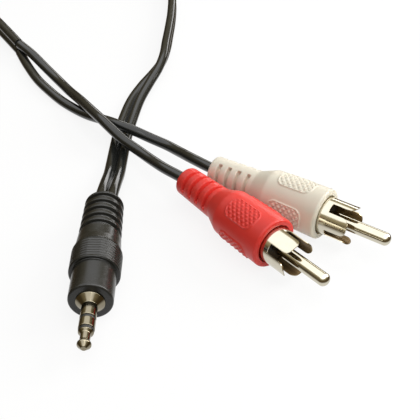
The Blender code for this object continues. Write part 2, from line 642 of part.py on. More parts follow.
def phono_shell(name, frame, turn):
    """Sprung outer contact: a thin cup whose rim is slotted into four petals."""
    shell = turned(f"phono_{name}_shell", [
        (SHELL_INNER, SHELL_REACH, 0), (SHELL_RADIUS + SHELL_FLARE, SHELL_REACH, 0),
        (SHELL_RADIUS, SHELL_REACH - PETAL_CORNER, 0),
        (SHELL_RADIUS, -SHELL_TAIL, 0), (SHELL_BASE_HOLE, -SHELL_TAIL, 0),
        (SHELL_BASE_HOLE, SHELL_BASE - SHELL_TAIL, 0),
        (SHELL_INNER, SHELL_BASE - SHELL_TAIL, 0),
    ], frame, NICKEL, loop=True, sides=2 * SEGMENTS)
    half = SLOT_WIDTH / 2
    ahead = SHELL_REACH + PETAL_CORNER
    corner_foot = SHELL_REACH - PETAL_CORNER
    wide = half + PETAL_CORNER
    outline = [(-half, SLOT_START), (half, SLOT_START)]
    steps = [math.pi / 2 * step / 4 for step in range(5)]
    right = [(half + PETAL_CORNER * (1 - math.cos(a)), corner_foot + PETAL_CORNER * math.sin(a))
             for a in steps]
    outline += right + [(wide, ahead), (-wide, ahead)]
    outline += [(-x, y) for x, y in reversed(right)]
    for index in range(2):
        slot = mesh_from(prism(f"phono_{name}_slot_{index}", [outline], 4 * SHELL_RADIUS, frame,
                               None, cutter=True))
        stand = Matrix.Rotation(turn + math.pi / 4 + math.pi / 2 * index, 3, "Z")
        slot.rotation_euler = (stand @ Matrix.Rotation(math.pi / 2, 3, "X")).to_euler()
        combine(shell, slot, "DIFFERENCE")
    return shell


def phono_contacts(name, frame):
    """The centre pin and the insulating disc that holds it in the shell's floor."""
    turned(f"phono_{name}_pin", [
        (0, PIN_REACH, 0), (PIN_RADIUS, PIN_REACH, 0.9 * PIN_RADIUS),
        (PIN_RADIUS, SHELL_BASE - SHELL_TAIL, 0), (PIN_TAIL_RADIUS, SHELL_BASE - SHELL_TAIL, 0),
        (PIN_TAIL_RADIUS, -PIN_TAIL, 0), (0, -PIN_TAIL, 0),
    ], frame, NICKEL)
    step = SHELL_BASE - SHELL_TAIL
    turned(f"phono_{name}_insulator", [
        (PIN_RADIUS + FIT, DISC_FRONT, 0), (SHELL_INNER - FIT, DISC_FRONT, 0.2 * MM),
        (SHELL_INNER - FIT, step + FIT, 0), (SHELL_BASE_HOLE - FIT, step + FIT, 0),
        (SHELL_BASE_HOLE - FIT, -SHELL_TAIL - SHELL_BASE, 0),
        (PIN_TAIL_RADIUS + FIT, -SHELL_TAIL - SHELL_BASE, 0),
        (PIN_TAIL_RADIUS + FIT, step - FIT, 0), (PIN_RADIUS + FIT, step - FIT, 0),
    ], frame, DARK_PLASTIC, loop=True)


def phono_wiring(name, frame):
    """The lead's wire runs straight to the pin, and its twisted screen to the shell's floor."""
    lead_face = CLEARANCE - LEAD_END
    tube(f"phono_{name}_wire", [(0, 0, -PIN_TAIL - CLEARANCE), (0, 0, lead_face)], WIRE_RADIUS,
         frame, CREAM_PLASTIC)
    start = Vector(((SHELL_BASE_HOLE + SHELL_RADIUS) / 2, 0, -SHELL_TAIL - CLEARANCE))
    end = Vector((LEAD_RADIUS - SCREEN_RADIUS - FIT, 0, lead_face))
    bend = (end.z - start.z) / 4
    points = [start, start + Vector((0, 0, bend)), (start + end) / 2, end - Vector((0, 0, bend)),
              end]
    tube(f"phono_{name}_screen", points, SCREEN_RADIUS, frame, COPPER)
    wide = [start + Vector((0, 0, SHELL_BASE))] + points[1:]
    return mesh_from(tube(f"phono_{name}_screen_channel", wide, SCREEN_RADIUS + CLEARANCE / 2,
                          frame, None, cutter=True))


def phono_inner_mould(name, frame, channel):
    outer = SHELL_RADIUS + FIT - CLEARANCE
    front = -SHELL_TAIL - CLEARANCE
    rear = -LEAD_END - MOULD_TAIL
    stub_room = SHELL_BASE_HOLE + CLEARANCE
    tail_room = PIN_TAIL_RADIUS + CLEARANCE
    wire_room = WIRE_RADIUS + CLEARANCE / 2
    lead_room = LEAD_RADIUS + CLEARANCE
    neck = PHONO_RELIEF_RADIUS - PHONO_SHOULDER_WALL - CLEARANCE
    mould = turned(f"phono_{name}_inner_mould", [
        (stub_room, front, 0), (outer, front, 0),
        (outer, -PHONO_SHOULDER_START + PHONO_SHOULDER_WALL / 2 + CLEARANCE, 0),
        (neck, rear, 0), (lead_room, rear, 0), (lead_room, CLEARANCE - LEAD_END, 0),
        (wire_room, CLEARANCE - LEAD_END, 0), (wire_room, -PIN_TAIL - CLEARANCE, 0),
        (tail_room, -PIN_TAIL - CLEARANCE, 0),
        (tail_room, -SHELL_TAIL - SHELL_BASE - CLEARANCE, 0),
        (stub_room, -SHELL_TAIL - SHELL_BASE - CLEARANCE, 0),
    ], frame, CREAM_PLASTIC, loop=True)
    combine(mould, channel, "DIFFERENCE")
    return mould


def build_phono(name, spot, heading, roll, shell_turn, material):
    frame = plug_frame(f"phono_{name}_frame", spot, PHONO_HEIGHT, heading, roll)
    phono_overmould(name, frame, material)
    phono_shell(name, frame, shell_turn)
    phono_contacts(name, frame)
    phono_inner_mould(name, frame, phono_wiring(name, frame))
    return frame


# Cable

def on_axis(frame, behind):
    """A point of a plug's axis, in the world, behind its rim."""
    return frame.matrix_world @ Vector((0, 0, -behind))


def twin_tube(name, route, frame=None):
    knots = []
    if frame:
        for behind in (JACK_CABLE_END, (JACK_CABLE_END + JACK_LENGTH) / 2):
            knots.append((*on_axis(frame, behind), 0.0))
    knots += [(x * MM, y * MM, z * MM, math.radians(turn) * MM) for x, y, z, turn in route]
    even = smooth_route(knots, TWIN_STEP * LEAD_DIAMETER)
    tube(name, [point.xyz for point in even], LEAD_RADIUS, None, BLACK_PVC,
         half_flat=LEAD_RADIUS, turns=[math.pi / 2 - point.w / MM for point in even])


def lead_tube(name, route, frame, material):
    knots = [Vector(point) * MM for point in route]
    inside = PHONO_LENGTH - LEAD_END
    knots += [on_axis(frame, PHONO_LENGTH - inside * share / 3) for share in range(4)]
    tube(name, smooth_route(knots, LEAD_STEP * LEAD_DIAMETER), LEAD_RADIUS, None, material)


def coil():
    """The outer shape of the wound turns, lying in its tie."""
    frame = bpy.data.objects.new("coil_frame", None)
    PARTS.objects.link(frame)
    frame.location = (*COIL_CENTRE, COIL_LIFT)
    inner = COIL_MIDDLE_RADIUS - COIL_HALF_ACROSS
    outer = COIL_MIDDLE_RADIUS + COIL_HALF_ACROSS
    edge = LEAD_RADIUS
    turned("cable_coil", [
        (inner, COIL_TALL, edge), (outer, COIL_TALL, edge), (outer, 0, edge), (inner, 0, edge),
    ], frame, BLACK_PVC, loop=True, sides=32)


def coil_tie():
    """A flat strap round the coil's section, on the side away from the plugs."""
    half_wide = COIL_HALF_ACROSS + CLEARANCE
    half_tall = COIL_TALL / 2 + FIT

    def loop(grow):
        wide, tall, corner = half_wide + grow, half_tall + grow, TIE_THICKNESS + grow
        return rounded_outline([(wide, -tall, corner), (wide, tall, corner),
                                (-wide, tall, corner), (-wide, -tall, corner)])

    strap = prism("coil_tie", [loop(TIE_THICKNESS), loop(0)], TIE_WIDTH, None, DARK_PLASTIC)
    strap.location = (COIL_CENTRE[0], COIL_CENTRE[1] + COIL_MIDDLE_RADIUS,
                      half_tall + TIE_THICKNESS)
    strap.rotation_euler = (math.pi / 2, 0, math.pi / 2)


jack_frame = build_jack()
red_frame = build_phono("red", RED_PLACE, RED_HEADING, RED_ROLL, RED_SHELL_TURN, RED_PVC)
white_frame = build_phono("white", WHITE_PLACE, WHITE_HEADING, WHITE_ROLL, WHITE_SHELL_TURN,
                          WHITE_PVC)
twin_tube("twin_jack_side", JACK_SIDE_ROUTE, jack_frame)
twin_tube("twin_phono_side", PHONO_SIDE_ROUTE)
lead_tube("lead_red", RED_ROUTE, red_frame, BLACK_PVC)
lead_tube("lead_white", WHITE_ROUTE, white_frame, BLACK_PVC)
coil()
coil_tie()
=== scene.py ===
# Looks of a stereo jack to twin phono audio lead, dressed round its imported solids.
import math

import bpy
import numpy as np
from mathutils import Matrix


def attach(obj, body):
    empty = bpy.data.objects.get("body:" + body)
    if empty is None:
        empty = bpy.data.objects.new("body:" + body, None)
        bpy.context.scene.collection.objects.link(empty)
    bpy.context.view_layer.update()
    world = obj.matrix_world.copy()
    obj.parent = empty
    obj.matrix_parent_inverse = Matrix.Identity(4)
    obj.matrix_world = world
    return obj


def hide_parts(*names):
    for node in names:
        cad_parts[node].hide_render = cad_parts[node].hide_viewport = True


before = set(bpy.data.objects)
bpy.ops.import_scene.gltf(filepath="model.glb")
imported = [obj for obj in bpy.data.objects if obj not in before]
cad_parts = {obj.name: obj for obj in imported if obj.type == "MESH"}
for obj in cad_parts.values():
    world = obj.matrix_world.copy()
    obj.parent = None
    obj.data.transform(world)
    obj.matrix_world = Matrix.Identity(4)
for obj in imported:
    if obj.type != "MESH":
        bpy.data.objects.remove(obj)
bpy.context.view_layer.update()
mm = 0.001
print("frame loaded with", len(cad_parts), "solids")


# Camera: looks down over the jack plug's nose, long lens
camera = {
    "stand": (-5.1, -166.8, 147.1),   # mm
    "aim": (-5.1, 20.6, 0.0),
    "focalPixels": 978.9,             # focal length over the width of one photo pixel
    "photoWidth": 420,
    "sensor": 36.0,                   # mm
    "clipStart": 0.005,               # m
}
cameraData = bpy.data.cameras.new("photoCamera")
cameraData.sensor_width = camera["sensor"]
cameraData.lens = camera["focalPixels"] / camera["photoWidth"] * camera["sensor"]
cameraData.clip_start = camera["clipStart"]
cameraObject = bpy.data.objects.new("photoCamera", cameraData)
bpy.context.scene.collection.objects.link(cameraObject)
stand = np.array(camera["stand"]) * mm
aim = np.array(camera["aim"]) * mm
pitch = math.atan2(stand[2] - aim[2], aim[1] - stand[1])
cameraObject.location = stand
cameraObject.rotation_euler = (math.pi / 2 - pitch, 0, 0)
bpy.context.scene.camera = cameraObject
print("camera placed")


# Small tools for colours, nodes and meshes

def linearColour(hexText):
    # sRGB hex to linear: each channel through the sRGB curve
    channels = np.array([int(hexText[i:i + 2], 16) for i in (0, 2, 4)]) / 255
    bent = np.where(channels <= 0.04045, channels / 12.92, ((channels + 0.055) / 1.055) ** 2.4)
    return (*bent.tolist(), 1.0)


def addNode(tree, kind, settings=None, feeds=None):
    # feeds gives each input a value, or the output socket that it is linked to
    node = tree.nodes.new(kind)
    for name, value in (settings or {}).items():
        setattr(node, name, value)
    for socket, value in (feeds or {}).items():
        if isinstance(value, bpy.types.NodeSocket):
            tree.links.new(value, node.inputs[socket])
        else:
            node.inputs[socket].default_value = value
    return node


def newMaterial(name):
    # an empty material and the node tree to fill
    material = bpy.data.materials.new(name)
    material.use_nodes = True
    tree = material.node_tree
    tree.nodes.clear()
    return material, tree


def meshFromRings(name, rings, joinEnds=False, closeStart=False, closeEnd=False):
    # rings is rows x around x 3: quads join each row of points to the next and wrap round, and
    # face outward when the points go clockwise about the way that the rows advance
    rows, around, _ = rings.shape
    points = rings.reshape(-1, 3)
    rowCount = rows if joinEnds else rows - 1
    row = np.arange(rowCount)[:, None]
    column = np.arange(around)[None, :]
    nextRow = (row + 1) % rows
    nextColumn = (column + 1) % around
    quads = np.stack([row * around + column, nextRow * around + column,
                      nextRow * around + nextColumn, row * around + nextColumn], -1)
    faces = quads.reshape(-1, 4).tolist()
    extra = []
    if closeStart:
        pole = len(points) + len(extra)
        extra.append(rings[0].mean(0))
        faces += [[pole, i, (i + 1) % around] for i in range(around)]
    if closeEnd:
        pole = len(points) + len(extra)
        extra.append(rings[-1].mean(0))
        last = (rows - 1) * around
        faces += [[pole, last + (i + 1) % around, last + i] for i in range(around)]
    if extra:
        points = np.vstack([points, extra])
    mesh = bpy.data.meshes.new(name)
    mesh.from_pydata(points.tolist(), [], faces)
    mesh.update()
    return mesh


def addPiece(name, mesh, material, stands=(), sharp=40):
    # a finished piece in world place, smooth but for edges sharper than this many degrees
    thing = bpy.data.objects.new(name, mesh)
    bpy.context.scene.collection.objects.link(thing)
    mesh.materials.append(material)
    mesh.shade_smooth()
    mesh.set_sharp_from_angle(angle=math.radians(sharp))
    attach(thing, "root")
    if stands:
        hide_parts(*stands)
    return thing


def softStep(value, edge):
    # a smooth step from 0 to 1 about 0: half of one plus the hyperbolic tangent of value / edge
    return 0.5 + 0.5 * np.tanh(value / edge)


arcPoints = 9       # along each rounded corner
arcShare = 0.48     # the most of a straight run that one corner's arc may take


def roundedOutline(corners, spacing):
    # an outline of straight runs with arcs at its (r, z, radius) corners, in mm, then sampled
    # evenly at the spacing along each run and arc; spacing is a number or a function of (r, z)
    corners = [np.array(corner, float) for corner in corners]
    path = [corners[0][:2]]
    for before, here, after in zip(corners, corners[1:], corners[2:]):
        back, ahead = before[:2] - here[:2], after[:2] - here[:2]
        backLong, aheadLong = np.linalg.norm(back), np.linalg.norm(ahead)
        if here[2] == 0:
            path.append(here[:2])
            continue
        back, ahead = back / backLong, ahead / aheadLong
        half = math.acos(np.clip(back @ ahead, -1, 1)) / 2
        reach = min(here[2] / math.tan(half), arcShare * backLong, arcShare * aheadLong)
        radius = reach * math.tan(half)
        middle = (back + ahead) / np.linalg.norm(back + ahead)
        centre = here[:2] + middle * math.hypot(reach, radius)
        start = here[:2] + back * reach - centre
        end = here[:2] + ahead * reach - centre
        turn = math.atan2(start[0] * end[1] - start[1] * end[0], start @ end)
        for angle in np.linspace(0, turn, arcPoints):
            spin = np.array([[math.cos(angle), -math.sin(angle)],
                             [math.sin(angle), math.cos(angle)]])
            path.append(centre + spin @ start)
    path.append(corners[-1][:2])
    sampled = []
    for start, end in zip(path, path[1:]):
        step = spacing(*((start + end) / 2)) if callable(spacing) else spacing
        count = max(1, int(math.ceil(np.linalg.norm(end - start) / step)))
        share = np.arange(count)[:, None] / count
        sampled.append(start + share * (end - start))
    sampled.append(path[-1][None, :])
    return np.vstack(sampled)


def turnedRings(outline, around, lift=None):
    # each outline point swept round the axis: (r cos a, r sin a, z), with lift(a, r, z) added to r
    angle = np.linspace(0, 2 * math.pi, around, endpoint=False)[None, :]
    r = np.repeat(outline[:, :1], around, 1)
    z = np.repeat(outline[:, 1:], around, 1)
    if lift is not None:
        r = r + lift(np.repeat(angle, len(outline), 0), r, z)
    return np.stack([r * np.cos(angle), r * np.sin(angle), z], -1)


def plugFrame(spot, height, headingDegrees, rollDegrees=0.0):
    # columns are the plug's top, side and forward directions, and its rim's centre, in mm:
    # forward is (sine, minus cosine) of the heading, and top is up turned about it by the roll
    heading, roll = math.radians(headingDegrees), math.radians(rollDegrees)
    forward = np.array([math.sin(heading), -math.cos(heading), 0.0])
    up = np.array([0.0, 0.0, 1.0])
    side = np.cross(forward, up)
    top = math.cos(roll) * up + math.sin(roll) * side
    across = np.cross(forward, top)
    return np.column_stack([top, across, forward, (*spot, height)])


def placed(frameMatrix, points):
    # from a plug's own millimetres to the world's metres: its axes times the point, plus its rim
    return (points @ frameMatrix[:, :3].T + frameMatrix[:, 3]) * mm


def turnedPiece(name, frameMatrix, corners, material, stands=(), around=96,
                spacing=0.25, sharp=40):
    # a turned piece; an outline that starts and ends on the axis is closed there by poles
    solid = corners[0][0] == 0 and corners[-1][0] == 0
    outline = roundedOutline(corners if solid else [*corners, corners[0]], spacing)[:-1]
    if solid:
        outline = outline[1:]
    rings = placed(frameMatrix, turnedRings(outline, around))
    mesh = meshFromRings(name, rings, joinEnds=not solid, closeStart=solid, closeEnd=solid)
    return addPiece(name, mesh, material, stands, sharp)


# Cords: routes of the cable's middle, given in millimetres
cable = {
    "coreDiameter": 2.7,
    "webThickness": 0.9,
    "webFillet": 0.12,         # where a core runs into the web
    "webGap": 0.02,            # radians that a core's arc stops short of it
    "ridgeHeight": 0.16,       # what is left of the web on a single lead
    "ridgeWidth": 0.075,       # radians
    "coilCentre": (-62.0, 190.7),
    "coilMiddleRadius": 29.0,
    "coilTurns": 6.5,
    "lowerTurns": 3.1,         # wound inward on the floor before the cable climbs
    "climbTurns": 0.3,
    "turnPitch": 2.75,
    "outerTurns": 1.5,         # turn pitches from the middle radius to the outermost turn
    "layerPitch": 5.45,
    "coilLift": 0.55,
    "fineStep": 0.8,           # between rings of the mesh
    "coilStep": 2.0,
    "knotsPerTurn": 24,
    "pointsPerSpan": 24,
    "coreArc": 19,             # points round one core of the twin cable
    "leadAround": 40,
    "insideKnots": 4,          # from a strain relief's end to the lead's end in the grip
}
# knots: x, y, height, and for the twin cable its turn from flat (0) to on edge (90)
jackSideRoute = [
    (-29.9, 15.2, 5.7, 0), (-29.7, 19.7, 5.5, 0), (-29.4, 25.3, 4.4, 0), (-29.1, 31.7, 2.8, 0),
    (-29.0, 38.2, 1.8, 0), (-28.8, 44.7, 1.4, 0), (-28.4, 51.7, 1.4, 0), (-27.4, 59.7, 1.55, 5),
    (-25.9, 68.2, 1.85, 15), (-23.45, 76.2, 2.2, 30), (-20.9, 83.2, 2.55, 50),
    (-19.15, 90.2, 2.75, 75), (-18.4, 97.7, 2.75, 90), (-17.9, 105.7, 2.75, 90),
    (-17.4, 116.7, 2.75, 90), (-17.5, 128.7, 2.75, 90), (-18.6, 140.7, 2.75, 90),
    (-21.2, 152.7, 2.85, 90), (-25.2, 163.7, 3.1, 90), (-28.0, 171.2, 3.25, 90),
    (-28.9, 176.6, 3.25, 90),
]
phonoSideRoute = [
    (-95.1, 176.6, 8.4, 90), (-95.2, 171.2, 7.4, 90), (-94.9, 162.7, 5.2, 90),
    (-93.4, 152.2, 3.3, 90), (-90.0, 141.7, 2.75, 90), (-85.0, 131.7, 2.75, 90),
    (-79.0, 122.3, 2.75, 90), (-73.5, 114.1, 2.75, 90), (-70.9, 110.1, 2.75, 90),
    (-66.8, 103.5, 2.75, 90), (-62.8, 96.9, 2.75, 90),
]
redRoute = [
    (-62.4, 96.2, 4.15), (-58.1, 91.1, 3.7), (-53.2, 84.7, 2.6), (-48.2, 77.4, 2.2),
    (-44.6, 70.9, 3.0), (-41.0, 64.4, 4.3), (-36.9, 56.9, 5.5), (-33.7, 51.6, 6.0),
    (-30.7, 47.5, 5.6), (-27.4, 43.7, 4.8), (-24.0, 40.0, 4.6), (-20.2, 35.2, 4.9),
    (-16.5, 30.2, 5.7),
]
whiteRoute = [
    (-62.6, 96.0, 1.4), (-59.4, 88.6, 1.4), (-55.0, 79.9, 1.4), (-51.1, 74.1, 1.4),
    (-46.7, 68.4, 1.4), (-42.3, 64.0, 1.4), (-38.6, 60.5, 1.8), (-34.9, 56.9, 2.9),
    (-31.9, 53.8, 4.0), (-28.4, 50.7, 4.6), (-25.1, 48.8, 4.4), (-20.8, 46.6, 3.6),
    (-16.5, 43.8, 3.3), (-13.0, 39.7, 4.0), (-9.4, 34.5, 5.4),
]
# the centre of each grip's front rim, its height, heading and roll in degrees
plugs = {
    "jack": plugFrame((-30.1, -17.8), 5.7, -0.35),
    "red": plugFrame((9.3, 0.1), 6.45, 40.0, -63.5),
    "white": plugFrame((21.65, 10.6), 6.45, 55.1, -2.0),
}
jackCableEnd = 19.5    # how far behind the rim the cables end inside the grips
leadEnd = 14.5
jackLength = 33.0      # from a grip's rim to the end of its strain relief
phonoLength = 31.3


def axisPoint(plugName, behind):
    # the point on a plug's axis this far behind its rim: centre minus behind times forward
    return plugs[plugName] @ np.array([0, 0, -behind, 1])


def smoothRoute(knots, step):
    # centripetal Catmull-Rom spline: each span is a cubic with end slopes weighted by the square
    # roots of the chords beside it; then points evenly spaced along the whole, with the fourth
    # value, the cable's turn, carried along
    knots = np.array(knots, float)
    padded = np.vstack([2 * knots[0] - knots[1], knots, 2 * knots[-1] - knots[-2]])
    before, start, end, after = (padded[i:len(padded) - 3 + i] for i in range(4))
    spanA, spanB, spanC = (np.sqrt(np.linalg.norm((b - a)[:, :3], axis=1))[:, None]
                           for a, b in ((before, start), (start, end), (end, after)))
    leave = spanB * ((start - before) / spanA - (end - before) / (spanA + spanB)
                     + (end - start) / spanB)
    arrive = spanB * ((end - start) / spanB - (after - start) / (spanB + spanC)
                      + (after - end) / spanC)
    t = np.linspace(0, 1, cable["pointsPerSpan"], endpoint=False)[None, :, None]
    start, end, leave, arrive = (a[:, None, :] for a in (start, end, leave, arrive))
    fine = (start * (2 * t**3 - 3 * t**2 + 1) + leave * (t**3 - 2 * t**2 + t)
            + end * (3 * t**2 - 2 * t**3) + arrive * (t**3 - t**2)).reshape(-1, knots.shape[1])
    fine = np.vstack([fine, knots[-1]])
    run = np.concatenate([[0], np.cumsum(np.linalg.norm(np.diff(fine[:, :3], axis=0), axis=1))])
    even = np.linspace(0, run[-1], max(3, int(round(run[-1] / step))))
    return np.column_stack([np.interp(even, run, fine[:, i]) for i in range(knots.shape[1])])


def coilKnots():
    # a flat spiral: radius falls by a turn pitch per turn on the lower layer, the cable climbs
    # one layer, and the radius grows again on the upper layer
    climbStart = cable["lowerTurns"]
    outer = cable["coilMiddleRadius"] + cable["outerTurns"] * cable["turnPitch"]
    inner = outer - climbStart * cable["turnPitch"]
    turn = np.arange(0, cable["coilTurns"] + 1e-6, 1 / cable["knotsPerTurn"])
    climbEnd = climbStart + cable["climbTurns"]
    radius = np.where(turn < climbStart, outer - cable["turnPitch"] * turn,
                      inner + (turn - climbEnd).clip(0) * (outer - inner)
                      / (cable["coilTurns"] - climbEnd))
    climb = ((turn - climbStart) / cable["climbTurns"]).clip(0, 1)
    height = (cable["coreDiameter"] + cable["coilLift"]
              + cable["layerPitch"] * climb * climb * (3 - 2 * climb))
    angle = 2 * math.pi * turn
    return np.column_stack([cable["coilCentre"][0] + radius * np.cos(angle),
                            cable["coilCentre"][1] + radius * np.sin(angle),
                            height, np.full(len(turn), 90.0)])


def sweep(path, section, turnDegrees):
    # the section's (x, y) points carried along the path: x along the cable's width, which lies
    # level at turn 0 and stands upright at 90, y square to it and to the path
    tangent = np.gradient(path, axis=0)
    tangent /= np.linalg.norm(tangent, axis=1)[:, None]
    level = np.cross(tangent, np.array([0.0, 0.0, 1.0]))
    level /= np.linalg.norm(level, axis=1)[:, None]
    upward = np.cross(level, tangent)
    turn = np.radians(turnDegrees)[:, None]
    width = np.cos(turn) * level + np.sin(turn) * upward
    thick = np.cross(width, tangent)
    if section.ndim == 2:
        section = section[None]
    return (path[:, None, :] + section[:, :, :1] * width[:, None, :]
            + section[:, :, 1:] * thick[:, None, :])


def twinSection():
    # two round cores side by side, each an arc that stops at the web, and the web's two faces
    radius = cable["coreDiameter"] / 2
    web = cable["webThickness"] / 2
    reach = math.pi - math.asin((web + cable["webFillet"]) / radius) - cable["webGap"]
    angle = np.linspace(-reach, reach, cable["coreArc"])
    right = np.column_stack([radius + radius * np.cos(angle), radius * np.sin(angle)])
    groove = np.array([[0.0, web]])
    return np.vstack([right, groove, -right, -groove])


def leadSection(ridgeTurn):
    # a round core with a thin ridge where the web was torn: the radius plus a bell curve of the
    # angle away from ridgeTurn, given in degrees for each point of the path
    angle = np.linspace(0, 2 * math.pi, cable["leadAround"], endpoint=False)[None, :]
    away = np.angle(np.exp(1j * (angle - np.radians(ridgeTurn)[:, None])))
    radius = (cable["coreDiameter"] / 2
              + cable["ridgeHeight"] * np.exp(-(away / cable["ridgeWidth"]) ** 2))
    return np.stack([radius * np.cos(angle), radius * np.sin(angle)], -1)


# Materials, each named for what it is made of
print("making materials")


def mouldedPlastic(name, look):
    # soft plastic, moulded or drawn: a faint grain off the tool, a slight drift of colour and
    # polish over some millimetres, and a little light let in where the look has a glow
    material, tree = newMaterial(name)
    where = addNode(tree, "ShaderNodeTexCoord").outputs["Object"]
    drift = addNode(tree, "ShaderNodeTexNoise", {"noise_dimensions": "3D"},
                    {"Vector": where, "Scale": 1 / (look["driftSize"] * mm), "Detail": 3.0})
    tint = addNode(tree, "ShaderNodeMix", {"data_type": "RGBA"},
                   {0: drift.outputs["Fac"], 6: linearColour(look["dark"]),
                    7: linearColour(look["light"])})
    grain = addNode(tree, "ShaderNodeTexNoise", None,
                    {"Vector": where, "Scale": 1 / (look["grainSize"] * mm), "Detail": 4.0,
                     "Roughness": 0.6})
    wear = addNode(tree, "ShaderNodeMapRange", None,
                   {"Value": drift.outputs["Fac"], "From Min": 0.3, "From Max": 0.7,
                    "To Min": look["rough"] - 0.05, "To Max": look["rough"] + 0.07})
    bump = addNode(tree, "ShaderNodeBump", None,
                   {"Height": grain.outputs["Fac"], "Strength": look["grainStrength"],
                    "Distance": 0.02 * mm})
    shader = addNode(tree, "ShaderNodeBsdfPrincipled", None,
                     {"Base Color": tint.outputs[2], "Roughness": wear.outputs["Result"],
                      "IOR": 1.53, "Specular IOR Level": look["shine"],
                      "Normal": bump.outputs["Normal"]})
    if look.get("glow"):
        shader.inputs["Subsurface Weight"].default_value = look["glow"]
        shader.inputs["Subsurface Radius"].default_value = look["glowRadius"]
        shader.inputs["Subsurface Scale"].default_value = 1.2 * mm
    addNode(tree, "ShaderNodeOutputMaterial", None, {"Surface": shader.outputs["BSDF"]})
    return material


def platedMetal(name, look):
    # metal plate over turned or stamped brass: mirror-like, hazed in soft patches, with marks of
    # 0.12 mm, coarser than real turning marks so that they show
    material, tree = newMaterial(name)
    where = addNode(tree, "ShaderNodeTexCoord").outputs["Object"]
    haze = addNode(tree, "ShaderNodeTexNoise", None,
                   {"Vector": where, "Scale": 1 / (1.5 * mm), "Detail": 3.0})
    rough = addNode(tree, "ShaderNodeMapRange", None,
                    {"Value": haze.outputs["Fac"], "From Min": 0.3, "From Max": 0.7,
                     "To Min": look["rough"], "To Max": look["rough"] + 0.06})
    stain = addNode(tree, "ShaderNodeMix", {"data_type": "RGBA"},
                    {0: haze.outputs["Fac"], 6: linearColour(look["dark"]),
                     7: linearColour(look["light"])})
    scratch = addNode(tree, "ShaderNodeTexNoise", None,
                      {"Vector": where, "Scale": 1 / (0.12 * mm), "Detail": 2.0})
    bump = addNode(tree, "ShaderNodeBump", None,
                   {"Height": scratch.outputs["Fac"], "Strength": 0.02, "Distance": 0.01 * mm})
    shader = addNode(tree, "ShaderNodeBsdfPrincipled", None,
                     {"Base Color": stain.outputs[2], "Metallic": 1.0,
                      "Roughness": rough.outputs["Result"], "Normal": bump.outputs["Normal"]})
    addNode(tree, "ShaderNodeOutputMaterial", None, {"Surface": shader.outputs["BSDF"]})
    return material


# black PVC, injection moulded: satin, with soft long highlights
blackVinyl = mouldedPlastic("mouldedBlackVinyl", {
    "dark": "1d1d1b", "light": "272724", "rough": 0.24, "shine": 0.38, "driftSize": 6.0,
    "grainSize": 0.12, "grainStrength": 0.35})
# black PVC, drawn round the cores: smoother than the moulded grips, so its highlights are sharp
cableVinyl = mouldedPlastic("extrudedBlackVinyl", {
    "dark": "1b1c1b", "light": "232422", "rough": 0.13, "shine": 0.45, "driftSize": 9.0,
    "grainSize": 0.25, "grainStrength": 0.1})
# red PVC, injection moulded: satin, glowing a little at thin edges
redVinyl = mouldedPlastic("mouldedRedVinyl", {
    "dark": "d6352d", "light": "df3e35", "rough": 0.36, "shine": 0.3, "driftSize": 7.0,
    "grainSize": 0.12, "grainStrength": 0.3, "glow": 0.1, "glowRadius": (1.0, 0.15, 0.1)})
# white PVC, injection moulded: warm and slightly milky, so its shadows stay soft
whiteVinyl = mouldedPlastic("mouldedWhiteVinyl", {
    "dark": "d8d1bf", "light": "dfd8c8", "rough": 0.36, "shine": 0.35, "driftSize": 7.0,
    "grainSize": 0.12, "grainStrength": 0.3, "glow": 0.15, "glowRadius": (1.0, 0.8, 0.65)})
# cream nylon, injection moulded: dull, the cores sealed inside the grips
creamNylon = mouldedPlastic("mouldedCreamNylon", {
    "dark": "cfc6ac", "light": "dbd3bd", "rough": 0.5, "shine": 0.5, "driftSize": 4.0,
    "grainSize": 0.2, "grainStrength": 0.3})
# black nylon, injection moulded: dull and hard, the insulating bands and discs
blackNylon = mouldedPlastic("mouldedBlackNylon", {
    "dark": "1d1d1c", "light": "262624", "rough": 0.42, "shine": 0.5, "driftSize": 4.0,
    "grainSize": 0.15, "grainStrength": 0.3})
# bright nickel plate on brass: a clear mirror, slightly warm
brightNickel = platedMetal("brightNickelPlate", {
    "dark": "c6c0ae", "light": "d2ccbb", "rough": 0.09})
# nickel plate on the jack's contacts: darker and browner than the bright plate
darkerNickel = platedMetal("darkerNickelPlate", {
    "dark": "7d7664", "light": "918976", "rough": 0.1})
# nickel plate with painted shade: brown and dull, for the inside of a stamped shell, where shade
# falls
nickelPaintedShade = platedMetal("nickelPlatePaintedShade", {
    "dark": "86704d", "light": "9a8461", "rough": 0.4})
# tinned copper: pale, with the copper's warmth showing through
tinnedCopper = platedMetal("tinnedCopper", {
    "dark": "b98d6c", "light": "cfae93", "rough": 0.25})


# The twin cable: jack, coil, and back to the split
print("winding the twin cable")
jackStart = [(*axisPoint("jack", jackCableEnd), 0.0),
             (*axisPoint("jack", (jackCableEnd + jackLength) / 2), 0.0)]
towardsCoil = smoothRoute([*jackStart, *jackSideRoute, *coilKnots()[:1]], cable["fineStep"])
roundCoil = smoothRoute(coilKnots(), cable["coilStep"])
fromCoil = smoothRoute([*coilKnots()[-1:], *phonoSideRoute], cable["fineStep"])
twinPath = np.vstack([towardsCoil[:-1], roundCoil[:-1], fromCoil])
section = twinSection()
rings = sweep(twinPath[:, :3], section, twinPath[:, 3]) * mm
twinMesh = meshFromRings("twinCable", rings, closeStart=True, closeEnd=True)
twinCable = addPiece("twinCable", twinMesh, cableVinyl,
                     ("twin_jack_side", "cable_coil", "twin_phono_side"), sharp=60)


def pathLength(path):
    # the sum of the distances between neighbouring points, in metres
    return float(np.linalg.norm(np.diff(path[:, :3], axis=0), axis=1).sum()) * mm


print("twin cable length", round(pathLength(twinPath), 4))


